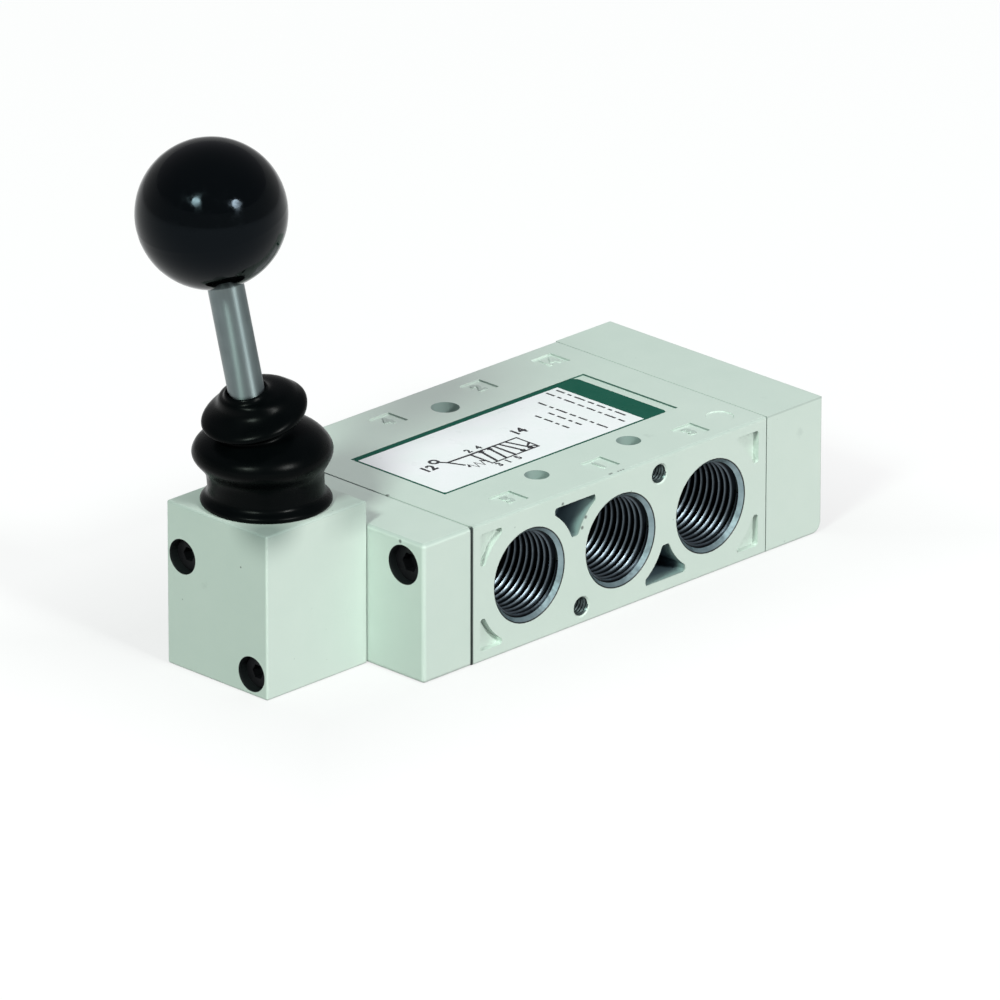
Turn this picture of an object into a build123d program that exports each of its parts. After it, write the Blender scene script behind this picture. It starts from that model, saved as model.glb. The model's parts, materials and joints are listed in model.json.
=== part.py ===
from build123d import *
import os
from math import cos, radians, sin, sqrt

os.makedirs("parts", exist_ok=True)

# A five port, two position spool valve that is worked by hand with a ball lever.
# Millimetres. X runs along the spool, +X away from the lever, and the three port face looks to -Y.
# The origin is the middle of the main body's bottom face, under the middle port.

# Main body
end_port_margin = 17.6
body_width = 65.6
body_height = 32.5
long_edge_round = 0.6

# Ports: G 1/2, bored here at the thread's major diameter
port_pitch = 28.5
port_thread_dia = 20.955
port_mouth_dia = 22.0
port_depth = 18.5
port_passage_dia = 11.0

# Pockets that save metal round the ports
gap_pocket_radius = 14.1
gap_pocket_width = 12.7
gap_pocket_foot = 5.0
gap_pocket_wall = 2.95
gap_pocket_depth = 8.0
corner_pocket_radius = 15.1
corner_pocket_start = 8.5
corner_pocket_foot = 6.15
corner_pocket_wall_x = 2.4
corner_pocket_wall_z = 2.5
corner_pocket_depth = 1.6
pocket_corner_round = 0.7

# Fixing holes
near_hole_spacing = 28.8
near_hole_inset = 11.7
near_hole_dia = 5.5
back_hole_inset = 11.2
back_hole_dia = 6.4
side_tap_dia = 4.2
side_tap_mouth_dia = 5.0
side_tap_depth = 8.0
side_tap_x = 12.2
side_tap_edge = 4.05

# Recesses in the top: one for each port's number, one that an ejector pin left, and the label's seat
mark_length = 6.6
mark_width = 6.3
mark_depth = 0.5
near_mark_inset = 6.5
back_mark_inset = 7.5
end_mark_margin = 9.1
pin_mark_dia = 6.4
pin_mark_depth = 0.2
pin_mark_margin = 7.0
pin_mark_inset = 7.6
label_seat_length = 73.2
label_seat_width = 29.4
label_seat_depth = 0.5
label_seat_play = 0.2

# End plates and their gaskets
adapter_length = 14.5
adapter_gasket_thickness = 0.5
adapter_edge_round = 0.9
cap_length = 17.9
cap_gasket_thickness = 0.3
cap_edge_round = 0.6
cap_foot_round = 2.5
gasket_inset = 0.35

# Lever housing
housing_length = 30.2
housing_width = 31.0
housing_height = 38.2
housing_gasket_thickness = 0.3
housing_edge_round = 0.5
cavity_width = 15.2
cavity_floor_drop = 8.25
cavity_roof_wall = 8.2
cavity_front_wall = 7.6
stem_pocket_play = 0.75
stem_pocket_clearance = 0.6

# Screws, as diameter, head diameter, head height, socket across flats
m5 = (5.0, 8.5, 5.0, 4.0)
m4 = (4.0, 7.0, 4.0, 3.0)
screw_clearance = 0.25
counterbore_clearance = 0.25
housing_counterbore_clearance = 0.5
screw_head_recess = 2.0
tap_runout = 1.0
end_screw_inset = 6.2
end_screw_grip = 8.5
housing_screw_inset = 4.85
housing_screw_drop = 6.25
housing_screw_foot = 4.95
housing_screw_grip = 9.0

# Fits between turned pieces, radial
running_clearance = 0.05
press_clearance = 0.02
spigot_clearance = 0.05

# Spool, its cages and its seals
spool_bore_dia = 22.0
seal_width = 3.0
seal_lip_width = 1.4
seal_lip_height = 0.8
land_dia = 14.0
waist_dia = 9.0
stem_dia = 12.0
cage_bore_clearance = 0.3
cage_recess_depth = 1.5
cage_rim = 2.0
cage_window_dia = 6.4
cage_window_pairs = 3
centre_groove_margin = 0.125
side_groove_margin = 1.125
groove_taper = 1.2
land_overrun = 1.03
seat_stack_gap = 0.53
stem_tail = 5.5
stem_flat_height = 4.0
stem_flat_length = 6.4
spool_chamfer = 0.6

# Return spring on the spool's stem
spring_wire = 1.3
spring_mean_dia = 14.2
spring_turns = 5.0
spring_cavity_dia = 17.0
spring_seat_thickness = 1.2
spring_end_play = 0.1
adapter_wall = 2.5
bush_wall = 1.5
bush_flange_thickness = 0.8
bush_reach = 3.0
stem_seal_width = 2.0
stem_seal_wall = 1.4

# Bumper in the end cap
bumper_gap = 0.3
bumper_thickness = 4.0
bumper_dia = 14.6

# Lever, pivot and knob
lever_tilt = 13.0
pivot_rise = 1.8
lever_end_dia = 7.0
lever_end_clearance = 0.1
arm_top_dia = 8.0
arm_end_dia = 4.8
hub_eye_dia = 12.0
hub_eye_width = 9.0
hub_boss_dia = 11.0
hub_side_play = 0.15
hub_boss_height = 16.0
rod_dia = 8.0
rod_engagement = 9.0
rod_chamfer = 0.5
nut_across_flats = 13.0
nut_height = 4.0
knob_dia = 33.0
knob_height = 70.6
knob_flat_dia = 13.0
insert_dia = 12.0
insert_length = 15.5
insert_roof = 1.0
pin_dia = 5.0
pin_length = 19.6
hub_bush_wall = 0.95
collar_dia = 22.4
collar_spigot_dia = 20.0
collar_rise = 6.8
collar_slot_half = 8.5
collar_chamfer = 0.5

# Dust boot: rings of (height over the housing, share of the lever's tilt, how far they stand out),
# the lower ones from the collar and the upper ones from the rod
boot_lower_rings = [
    (0.0, 0.0, 2.9), (0.9, 0.0, 3.15), (2.1, 0.0, 2.7), (3.3, 0.0, 1.75), (5.0, 0.0, 1.5),
    (7.2, 0.05, 1.75), (9.6, 0.18, 3.5), (12.2, 0.28, 4.15), (14.8, 0.52, 3.4), (17.2, 0.8, 0.9),
    (18.7, 0.9, 0.0),
]
boot_upper_rings = [
    (20.1, 0.97, 7.5), (22.0, 1.0, 7.9), (24.4, 1.0, 7.3), (26.6, 1.0, 5.3), (28.1, 1.0, 3.0),
    (29.0, 1.0, 1.4),
]
boot_wall = 1.4
boot_shoulder = 24.8
boot_collar_clearance = 0.05
boot_rod_clearance = 0.3

# Label plate
label_length = 70.1
label_width = 29.0
label_thickness = 0.3
label_x = -1.55
label_y = -0.3
label_corner = 1.6

# Places worked out from the sizes above
body_end = port_pitch + end_port_margin
body_length = 2 * body_end
body_side = body_width / 2
port_height = body_height / 2
passage_end = spool_bore_dia / 4
near_hole_y = body_side - near_hole_inset
back_hole_y = body_side - back_hole_inset
side_tap_rise = port_height - side_tap_edge
near_mark_y = body_side - near_mark_inset
back_mark_y = body_side - back_mark_inset
label_seat_x = label_x - label_length / 2 - label_seat_play + label_seat_length / 2
adapter_inner = -body_end - adapter_gasket_thickness
adapter_outer = adapter_inner - adapter_length
housing_inner = adapter_outer - housing_gasket_thickness
housing_outer = housing_inner - housing_length
cap_inner = body_end + cap_gasket_thickness
cap_outer = cap_inner + cap_length
cavity_floor = port_height - cavity_floor_drop
cavity_roof = housing_height - cavity_roof_wall
collar_top = housing_height + collar_rise
pivot_x = housing_inner - housing_length / 2
pivot_height = housing_height + pivot_rise
arm_length = pivot_height - port_height
half_stroke = arm_length * sin(radians(lever_tilt))
bush_bore_radius = stem_dia / 2 + running_clearance
bush_outer_radius = stem_dia / 2 + bush_wall
first_seal_x, last_seal_x = port_pitch / 4, 5 * port_pitch / 4
stack_half = last_seal_x + seal_width / 2
land_end = stack_half + half_stroke + seat_stack_gap
spool_right_end = last_seal_x + half_stroke + land_overrun
centre_groove_half = first_seal_x - centre_groove_margin
side_groove_start, side_groove_end = 3 * first_seal_x + side_groove_margin, port_pitch
shoulder_x = half_stroke - land_end
spring_fixed_x = adapter_outer + adapter_wall + bush_flange_thickness
spring_free_x = shoulder_x - spring_seat_thickness
bumper_face = spool_right_end + half_stroke + bumper_gap
end_screw_y = body_side - end_screw_inset
end_screw_places = [(-end_screw_y, body_height - end_screw_inset), (end_screw_y, end_screw_inset)]
housing_screw_y = housing_width / 2 - housing_screw_inset
housing_screw_places = [
    (housing_screw_y, body_height - housing_screw_drop), (-housing_screw_y, housing_screw_foot)
]
adapter_screw_head = adapter_outer + screw_head_recess
cap_screw_head = cap_outer - screw_head_recess
housing_screw_head = housing_outer + screw_head_recess
spool_axis = Axis((0, 0, port_height), (1, 0, 0))

tilt_sin, tilt_cos = sin(radians(lever_tilt)), cos(radians(lever_tilt))
pivot = Vector(pivot_x, 0, pivot_height)
lever_plane = Plane(origin=pivot, x_dir=(tilt_cos, 0, tilt_sin), z_dir=(-tilt_sin, 0, tilt_cos))
lever_side = Plane(origin=pivot, x_dir=(tilt_cos, 0, tilt_sin), z_dir=(0, -1, 0))
lever_axis = Axis(pivot, (-tilt_sin, 0, tilt_cos))


def turn_along_spool(outline):
    """Revolve an outline of (x, radius) points about the spool's axis."""
    with BuildSketch(Plane.XZ) as profile:
        with BuildLine():
            Polyline([(x, port_height + radius) for x, radius in outline], close=True)
        make_face()
    revolve(profile.sketch, axis=spool_axis)


def bore_along_x(start, end, y, z, radius):
    """Cut a round hole between two places along X."""
    with BuildSketch(Plane.YZ.offset(start)) as profile:
        with Locations((y, z)):
            Circle(radius)
    extrude(profile.sketch, amount=end - start, mode=Mode.SUBTRACT)


def bore_screw(outer, head, far, places, size, head_clearance):
    """Cut the counterbore and the through hole of each screw."""
    dia, head_dia, head_length, _ = size
    way = 1 if far > outer else -1
    for y, z in places:
        bore_along_x(outer, head + way * head_length, y, z, head_dia / 2 + head_clearance)
        bore_along_x(outer, far, y, z, dia / 2 + screw_clearance)


def cap_screws_along_x(head, tip, places, size):
    """Socket head screws with their head's outer face at one place and their tip at the other."""
    dia, head_dia, head_length, socket = size
    way = 1 if tip > head else -1
    shoulder = head + way * head_length
    for y, z in places:
        with BuildSketch(Plane.YZ.offset(head)) as profile:
            with Locations((y, z)):
                Circle(head_dia / 2)
        extrude(profile.sketch, amount=shoulder - head)
        with BuildSketch(Plane.YZ.offset(shoulder)) as profile:
            with Locations((y, z)):
                Circle(dia / 2)
        extrude(profile.sketch, amount=tip - shoulder)
        with BuildSketch(Plane.YZ.offset(head)) as profile:
            with Locations((y, z)):
                RegularPolygon(socket / 2, 6, major_radius=False)
        extrude(profile.sketch, amount=(shoulder - head) / 2, mode=Mode.SUBTRACT)


def flat_gasket(start, thickness, width, height, places, screw_dia, hole_dia):
    """A gasket between two end faces, held back a little from their edges."""
    with BuildSketch(Plane.YZ.offset(start)) as profile:
        with Locations((0, height / 2)):
            Rectangle(width - 2 * gasket_inset, height - 2 * gasket_inset)
        with Locations((0, port_height)):
            Circle(hole_dia / 2, mode=Mode.SUBTRACT)
        with Locations(places):
            Circle(screw_dia / 2 + screw_clearance, mode=Mode.SUBTRACT)
    extrude(profile.sketch, amount=thickness)


# Main body: a cast block with the spool's bore, the ports and the pockets
def cut_port(x, side):
    """One threaded port with its countersunk mouth and the passage to the spool's bore."""
    thread_radius = port_thread_dia / 2
    lead = port_mouth_dia / 2 - thread_radius
    outline = [
        (x, side * body_side),
        (x + port_mouth_dia / 2, side * body_side),
        (x + thread_radius, side * (body_side - lead)),
        (x + thread_radius, side * (body_side - port_depth)),
        (x + port_passage_dia / 2, side * (body_side - port_depth)),
        (x + port_passage_dia / 2, side * passage_end),
        (x, side * passage_end),
    ]
    with BuildSketch(Plane.XY.offset(port_height)) as profile:
        with BuildLine():
            Polyline(outline, close=True)
        make_face()
    revolve(profile.sketch, axis=Axis((x, 0, port_height), (0, 1, 0)), mode=Mode.SUBTRACT)


def cut_side_pocket(x, z, width, height, ports, radius, depth):
    """A pocket in the port face with rounded corners, its curved sides centred on the ports given."""
    with BuildSketch(Plane.XZ.offset(body_side)) as profile:
        with Locations((x, z)):
            Rectangle(width - 2 * pocket_corner_round, height - 2 * pocket_corner_round)
        with Locations([(port_x, port_height) for port_x in ports]):
            Circle(radius + pocket_corner_round, mode=Mode.SUBTRACT)
        offset(amount=pocket_corner_round, mode=Mode.REPLACE)
    extrude(profile.sketch, amount=-depth, mode=Mode.SUBTRACT)


def cut_gap_pocket(x, up):
    """A deep pocket between two ports."""
    height = port_height - gap_pocket_wall - gap_pocket_foot
    z = port_height + up * (gap_pocket_foot + height / 2)
    ports = (x - port_pitch / 2, x + port_pitch / 2)
    cut_side_pocket(x, z, gap_pocket_width, height, ports, gap_pocket_radius, gap_pocket_depth)


def cut_corner_pocket(end, up):
    """A shallow pocket in a corner of the port face."""
    width = end_port_margin - corner_pocket_wall_x - corner_pocket_start
    height = port_height - corner_pocket_wall_z - corner_pocket_foot
    x = end * (body_end - corner_pocket_wall_x - width / 2)
    z = port_height + up * (corner_pocket_foot + height / 2)
    cut_side_pocket(x, z, width, height, (end * port_pitch,), corner_pocket_radius, corner_pocket_depth)


def cut_side_tap(x, z):
    """A small tapped hole in the port face with a countersunk mouth."""
    radius, mouth = side_tap_dia / 2, side_tap_mouth_dia / 2
    with BuildSketch(Plane.XY.offset(z)) as profile:
        with BuildLine():
            Polyline(
                (x, -body_side), (x + mouth, -body_side), (x + radius, -body_side + mouth - radius),
                (x + radius, -body_side + side_tap_depth), (x, -body_side + side_tap_depth), close=True,
            )
        make_face()
    revolve(profile.sketch, axis=Axis((x, 0, z), (0, 1, 0)), mode=Mode.SUBTRACT)


def cut_recess(places, length, width, depth):
    """Shallow recesses in the top."""
    with BuildSketch(Plane.XY.offset(body_height)) as profile:
        with Locations(places):
            Rectangle(length, width)
    extrude(profile.sketch, amount=-depth, mode=Mode.SUBTRACT)


with BuildPart() as valve_body:
    with Locations((0, 0, body_height / 2)):
        Box(body_length, body_width, body_height)
    fillet(valve_body.edges().filter_by(Axis.X), long_edge_round)
    bore_along_x(-body_end, body_end, 0, port_height, spool_bore_dia / 2)
    for x in (-port_pitch, 0, port_pitch):
        cut_port(x, -1)
    for x in (-port_pitch / 2, port_pitch / 2):
        cut_port(x, 1)
    cut_gap_pocket(-port_pitch / 2, 1)
    cut_gap_pocket(port_pitch / 2, -1)
    for end in (-1, 1):
        for up in (-1, 1):
            cut_corner_pocket(end, up)
    cut_side_tap(-side_tap_x, port_height - side_tap_rise)
    cut_side_tap(side_tap_x, port_height + side_tap_rise)
    number_places = [(x, -near_mark_y) for x in (-port_pitch, 0, port_pitch)]
    number_places += [(x, back_mark_y) for x in (-port_pitch / 2, port_pitch / 2, body_end - end_mark_margin)]
    cut_recess(number_places, mark_length, mark_width, mark_depth)
    cut_recess([(label_seat_x, label_y)], label_seat_length, label_seat_width, label_seat_depth)
    with BuildSketch(Plane.XY.offset(body_height)):
        with Locations((body_end - pin_mark_margin, pin_mark_inset - body_side)):
            Circle(pin_mark_dia / 2)
    extrude(amount=-pin_mark_depth, mode=Mode.SUBTRACT)
    with BuildSketch():
        with Locations((-near_hole_spacing / 2, -near_hole_y), (near_hole_spacing / 2, -near_hole_y)):
            Circle(near_hole_dia / 2)
        with Locations((0, back_hole_y)):
            Circle(back_hole_dia / 2)
    extrude(amount=body_height, mode=Mode.SUBTRACT)
    for end in (-1, 1):
        for y, z in end_screw_places:
            tapped_end = end * (body_end - end_screw_grip - tap_runout)
            bore_along_x(end * body_end, tapped_end, y, z, m5[0] / 2 + press_clearance)
valve_body.part.label = "valve_body"
export_step(valve_body.part, "parts/valve_body.step")


# Thick end plate between the body and the lever housing, with the spring's cavity in its spigot
with BuildPart() as adapter_block:
    with Locations(((adapter_outer + adapter_inner) / 2, 0, body_height / 2)):
        Box(adapter_length, body_width, body_height)
    fillet(
        adapter_block.edges().filter_by(Axis.X) + adapter_block.faces().sort_by(Axis.X)[0].edges(),
        adapter_edge_round,
    )
    with BuildSketch(Plane.YZ.offset(adapter_inner)):
        with Locations((0, port_height)):
            Circle(spool_bore_dia / 2 - spigot_clearance)
    extrude(amount=-stack_half - adapter_inner)
    cavity_start = adapter_outer + adapter_wall
    bore_along_x(cavity_start, -stack_half, 0, port_height, spring_cavity_dia / 2)
    bore_along_x(adapter_outer, cavity_start, 0, port_height, bush_outer_radius + press_clearance)
    bore_screw(
        adapter_outer, adapter_screw_head, adapter_inner, end_screw_places, m5, counterbore_clearance
    )
    for y, z in housing_screw_places:
        tapped_radius = m4[0] / 2 + press_clearance
        tapped_end = adapter_outer + housing_screw_grip + tap_runout
        bore_along_x(adapter_outer, tapped_end, y, z, tapped_radius)
adapter_block.part.label = "adapter_block"
export_step(adapter_block.part, "parts/adapter_block.step")


# End cap with a spigot that closes the stack and room for the spool's end
with BuildPart() as end_cap:
    with Locations(((cap_inner + cap_outer) / 2, 0, body_height / 2)):
        Box(cap_length, body_width, body_height)
    foot_edge = end_cap.edges().filter_by(Axis.Y).group_by(Axis.Z)[0].sort_by(Axis.X)[-1]
    fillet(foot_edge, cap_foot_round)
    outer_edges = end_cap.faces().sort_by(Axis.X)[-1].edges()
    fillet(outer_edges.filter_by(Axis.Z) + outer_edges.filter_by(Axis.Y).sort_by(Axis.Z)[-1:], cap_edge_round)
    with BuildSketch(Plane.YZ.offset(cap_inner)):
        with Locations((0, port_height)):
            Circle(spool_bore_dia / 2 - spigot_clearance)
    extrude(amount=stack_half - cap_inner)
    bumper_back = bumper_face + bumper_thickness
    bore_along_x(stack_half, bumper_back, 0, port_height, bumper_dia / 2 + press_clearance)
    bore_screw(cap_outer, cap_screw_head, cap_inner, end_screw_places, m5, counterbore_clearance)
end_cap.part.label = "end_cap"
export_step(end_cap.part, "parts/end_cap.step")


# Gaskets in the joints of the block
with BuildPart() as adapter_gasket:
    flat_gasket(
        adapter_inner, adapter_gasket_thickness, body_width, body_height, end_screw_places, m5[0],
        spool_bore_dia,
    )
adapter_gasket.part.label = "adapter_gasket"
export_step(adapter_gasket.part, "parts/adapter_gasket.step")

with BuildPart() as cap_gasket:
    flat_gasket(
        body_end, cap_gasket_thickness, body_width, body_height, end_screw_places, m5[0], spool_bore_dia
    )
cap_gasket.part.label = "cap_gasket"
export_step(cap_gasket.part, "parts/cap_gasket.step")

with BuildPart() as housing_gasket:
    flat_gasket(
        housing_inner, housing_gasket_thickness, housing_width, body_height, housing_screw_places, m4[0],
        cavity_width,
    )
housing_gasket.part.label = "housing_gasket"
export_step(housing_gasket.part, "parts/housing_gasket.step")


# Lever housing: open to the end plate, with a pocket for the stem and a bore in the roof for the collar
with BuildPart() as lever_housing:
    with Locations(((housing_outer + housing_inner) / 2, 0, housing_height / 2)):
        Box(housing_length, housing_width, housing_height)
    fillet(
        lever_housing.edges().filter_by(Axis.X) + lever_housing.faces().sort_by(Axis.X)[0].edges()
        + lever_housing.faces().sort_by(Axis.Z)[-1].edges().filter_by(Axis.Y),
        housing_edge_round,
    )
    cavity_length = housing_length - cavity_front_wall
    with Locations((housing_inner - cavity_length / 2, 0, (cavity_floor + cavity_roof) / 2)):
        Box(cavity_length, cavity_width, cavity_roof - cavity_floor, mode=Mode.SUBTRACT)
    stem_pocket_end = pivot_x - stem_tail - half_stroke - stem_pocket_play
    bore_along_x(stem_pocket_end, housing_inner, 0, port_height, stem_dia / 2 + stem_pocket_clearance)
    with BuildSketch(Plane.XY.offset(cavity_roof)):
        with Locations((pivot_x, 0)):
            Circle(collar_spigot_dia / 2)
    extrude(amount=housing_height - cavity_roof, mode=Mode.SUBTRACT)
    bore_screw(
        housing_outer, housing_screw_head, housing_inner, housing_screw_places, m4,
        housing_counterbore_clearance,
    )
lever_housing.part.label = "lever_housing"
export_step(lever_housing.part, "parts/lever_housing.step")


# Screws
with BuildPart() as adapter_screws:
    cap_screws_along_x(adapter_screw_head, -body_end + end_screw_grip, end_screw_places, m5)
adapter_screws.part.label = "adapter_screws"
export_step(adapter_screws.part, "parts/adapter_screws.step")

with BuildPart() as end_cap_screws:
    cap_screws_along_x(cap_screw_head, body_end - end_screw_grip, end_screw_places, m5)
end_cap_screws.part.label = "cap_screws"
export_step(end_cap_screws.part, "parts/cap_screws.step")

with BuildPart() as housing_screws:
    cap_screws_along_x(
        housing_screw_head, adapter_outer + housing_screw_grip, housing_screw_places, m4
    )
housing_screws.part.label = "housing_screws"
export_step(housing_screws.part, "parts/housing_screws.step")


# Label plate in its seat in the body's top
with BuildPart() as label_plate:
    with BuildSketch(Plane.XY.offset(body_height - label_seat_depth)):
        with Locations((label_x, label_y)):
            RectangleRounded(label_length, label_width, label_corner)
    extrude(amount=label_thickness)
label_plate.part.label = "label_plate"
export_step(label_plate.part, "parts/label_plate.step")


# Spool: three long lands, a centre groove, two side grooves and the stem that the lever drives
stem_end = pivot_x - stem_tail
with BuildPart() as spool:
    spool_outline = [
        (stem_end, 0), (stem_end, stem_dia / 2), (-land_end, stem_dia / 2), (-land_end, land_dia / 2),
        (-side_groove_end, land_dia / 2), (-side_groove_end, waist_dia / 2),
        (-side_groove_start - groove_taper, waist_dia / 2), (-side_groove_start, land_dia / 2),
        (-centre_groove_half, land_dia / 2), (-centre_groove_half + groove_taper, waist_dia / 2),
        (centre_groove_half - groove_taper, waist_dia / 2), (centre_groove_half, land_dia / 2),
        (side_groove_start, land_dia / 2), (side_groove_start + groove_taper, waist_dia / 2),
        (side_groove_end, waist_dia / 2), (side_groove_end, land_dia / 2),
        (spool_right_end - spool_chamfer, land_dia / 2),
        (spool_right_end, land_dia / 2 - spool_chamfer), (spool_right_end, 0),
    ]
    turn_along_spool([(x + half_stroke, radius) for x, radius in spool_outline])
    slot_x = pivot_x + half_stroke
    with Locations((slot_x, 0, port_height)):
        Cylinder(lever_end_dia / 2 + lever_end_clearance, 2 * stem_dia, mode=Mode.SUBTRACT)
    flat_start = slot_x - stem_tail
    flat_length = stem_tail + stem_flat_length
    with Locations((flat_start + flat_length / 2, 0, port_height + stem_flat_height + stem_dia / 2)):
        Box(flat_length, stem_dia, stem_dia, mode=Mode.SUBTRACT)
spool.part.label = "spool"
export_step(spool.part, "parts/spool.step")


# Five cages between the seals, each with a recess and windows round it
cage_length = port_pitch / 2 - seal_width
cage_radius = spool_bore_dia / 2 - spigot_clearance
with BuildPart() as spool_cages:
    for place in range(-2, 3):
        middle = place * port_pitch / 2
        inner = land_dia / 2 + cage_bore_clearance
        turn_along_spool([
            (middle - cage_length / 2, inner),
            (middle - cage_length / 2, cage_radius),
            (middle - cage_length / 2 + cage_rim, cage_radius),
            (middle - cage_length / 2 + cage_rim, cage_radius - cage_recess_depth),
            (middle + cage_length / 2 - cage_rim, cage_radius - cage_recess_depth),
            (middle + cage_length / 2 - cage_rim, cage_radius),
            (middle + cage_length / 2, cage_radius),
            (middle + cage_length / 2, inner),
        ])
        with Locations((middle, 0, port_height)):
            for pair in range(cage_window_pairs):
                turn = (180 * pair / cage_window_pairs, 0, 0)
                Cylinder(cage_window_dia / 2, spool_bore_dia, rotation=turn, mode=Mode.SUBTRACT)
spool_cages.part.label = "spool_cages"
export_step(spool_cages.part, "parts/spool_cages.step")


# Six seals, each with a lip that the spool runs in
with BuildPart() as spool_seals:
    for place in range(6):
        middle = (place - 2.5) * port_pitch / 2
        lip = land_dia / 2 + running_clearance
        turn_along_spool([
            (middle - seal_width / 2, cage_radius),
            (middle - seal_width / 2, lip + seal_lip_height),
            (middle - seal_lip_width / 2, lip),
            (middle + seal_lip_width / 2, lip),
            (middle + seal_width / 2, lip + seal_lip_height),
            (middle + seal_width / 2, cage_radius),
        ])
spool_seals.part.label = "spool_seals"
export_step(spool_seals.part, "parts/spool_seals.step")


# Flanged bush in the end plate for the spool's stem
with BuildPart() as guide_bush:
    bush_tip = adapter_outer - bush_reach
    turn_along_spool([
        (bush_tip, bush_bore_radius),
        (bush_tip, bush_outer_radius),
        (adapter_outer + adapter_wall, bush_outer_radius),
        (adapter_outer + adapter_wall, spring_cavity_dia / 2 - spigot_clearance),
        (spring_fixed_x, spring_cavity_dia / 2 - spigot_clearance),
        (spring_fixed_x, bush_bore_radius),
    ])
guide_bush.part.label = "guide_bush"
export_step(guide_bush.part, "parts/guide_bush.step")


# Ring that wipes the stem where it leaves the bush
with BuildPart() as stem_seal:
    turn_along_spool([
        (bush_tip - stem_seal_width, bush_bore_radius),
        (bush_tip - stem_seal_width, bush_bore_radius + stem_seal_wall - spigot_clearance),
        (bush_tip, bush_bore_radius + stem_seal_wall - spigot_clearance),
        (bush_tip, bush_bore_radius),
    ])
stem_seal.part.label = "stem_seal"
export_step(stem_seal.part, "parts/stem_seal.step")


# Return spring round the stem and the washer that it pushes against the spool's shoulder
with BuildPart() as return_spring:
    spring_start = spring_fixed_x + spring_wire / 2 + spring_end_play
    spring_length = spring_free_x - spring_fixed_x - spring_wire - 2 * spring_end_play
    with BuildLine():
        coil = Helix(
            pitch=spring_length / spring_turns, height=spring_length, radius=spring_mean_dia / 2,
            center=(spring_start, 0, port_height), direction=(1, 0, 0),
        )
    with BuildSketch(Plane(origin=coil @ 0, z_dir=coil % 0)):
        Circle(spring_wire / 2)
    sweep(path=coil, is_frenet=True)
return_spring.part.label = "return_spring"
export_step(return_spring.part, "parts/return_spring.step")

with BuildPart() as spring_seat:
    seat_radius = spring_cavity_dia / 2 - cage_bore_clearance
    turn_along_spool([
        (spring_free_x, bush_bore_radius), (spring_free_x, seat_radius),
        (shoulder_x, seat_radius), (shoulder_x, bush_bore_radius),
    ])
spring_seat.part.label = "spring_seat"
export_step(spring_seat.part, "parts/spring_seat.step")


# Rubber bumper at the bottom of the end cap's bore
with BuildPart() as end_bumper:
    turn_along_spool([
        (bumper_face, 0), (bumper_face, bumper_dia / 2),
        (bumper_back, bumper_dia / 2), (bumper_back, 0),
    ])
end_bumper.part.label = "end_bumper"
export_step(end_bumper.part, "parts/end_bumper.step")


# Collar that carries the pivot, seated in the housing's roof
slot_radius = hub_boss_dia / 2 + hub_side_play
with BuildPart() as pivot_collar:
    with BuildSketch(Plane.XY.offset(housing_height)):
        with Locations((pivot_x, 0)):
            Circle(collar_dia / 2)
    extrude(amount=collar_rise)
    chamfer(pivot_collar.edges().sort_by(Axis.Z)[-1], collar_chamfer)
    with BuildSketch(Plane.XY.offset(cavity_roof)):
        with Locations((pivot_x, 0)):
            Circle(collar_spigot_dia / 2 - spigot_clearance)
    extrude(amount=housing_height - cavity_roof)
    with BuildSketch(Plane.XY.offset(cavity_roof)):
        with Locations((pivot_x, 0)):
            SlotOverall(2 * collar_slot_half, 2 * slot_radius)
    extrude(amount=collar_top - cavity_roof, mode=Mode.SUBTRACT)
    with BuildSketch(Plane.XZ):
        with Locations((pivot_x, pivot_height)):
            Circle(pin_dia / 2 + press_clearance)
    extrude(amount=collar_dia, both=True, mode=Mode.SUBTRACT)
pivot_collar.part.label = "pivot_collar"
export_step(pivot_collar.part, "parts/pivot_collar.step")

with BuildPart() as pivot_pin:
    with BuildSketch(Plane.XZ):
        with Locations((pivot_x, pivot_height)):
            Circle(pin_dia / 2)
    extrude(amount=pin_length / 2, both=True)
    chamfer(pivot_pin.edges(), rod_chamfer)
pivot_pin.part.label = "pivot_pin"
export_step(pivot_pin.part, "parts/pivot_pin.step")

hub_bush_radius = pin_dia / 2 + running_clearance + hub_bush_wall
with BuildPart() as hub_bush:
    with BuildSketch(Plane.XZ):
        with Locations((pivot_x, pivot_height)):
            Circle(hub_bush_radius)
            Circle(pin_dia / 2 + running_clearance, mode=Mode.SUBTRACT)
    extrude(amount=hub_eye_width / 2, both=True)
hub_bush.part.label = "hub_bush"
export_step(hub_bush.part, "parts/hub_bush.step")


# Lever hub: the eye, the socket for the rod above it and the arm with its ball end below
with BuildPart() as lever_hub:
    with BuildSketch(lever_side):
        Circle(hub_eye_dia / 2)
    extrude(amount=hub_eye_width / 2, both=True)
    with BuildSketch(lever_plane):
        Circle(hub_boss_dia / 2)
    extrude(amount=hub_boss_height)
    end_radius = lever_end_dia / 2
    neck_drop = sqrt(end_radius ** 2 - (arm_end_dia / 2) ** 2)
    with BuildSketch(lever_side):
        with BuildLine():
            Polyline(
                (0, -arm_length - end_radius), (0, 0), (arm_top_dia / 2, 0),
                (arm_end_dia / 2, -arm_length + neck_drop),
            )
            ThreePointArc(
                (arm_end_dia / 2, -arm_length + neck_drop), (end_radius, -arm_length),
                (0, -arm_length - end_radius),
            )
        make_face()
    revolve(axis=lever_axis)
    with BuildSketch(lever_side):
        Circle(hub_bush_radius + press_clearance)
    extrude(amount=hub_boss_dia, both=True, mode=Mode.SUBTRACT)
    with BuildSketch(lever_plane.offset(hub_boss_height)):
        Circle(rod_dia / 2 + press_clearance)
    extrude(amount=-rod_engagement, mode=Mode.SUBTRACT)
lever_hub.part.label = "lever_hub"
export_step(lever_hub.part, "parts/lever_hub.step")


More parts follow.
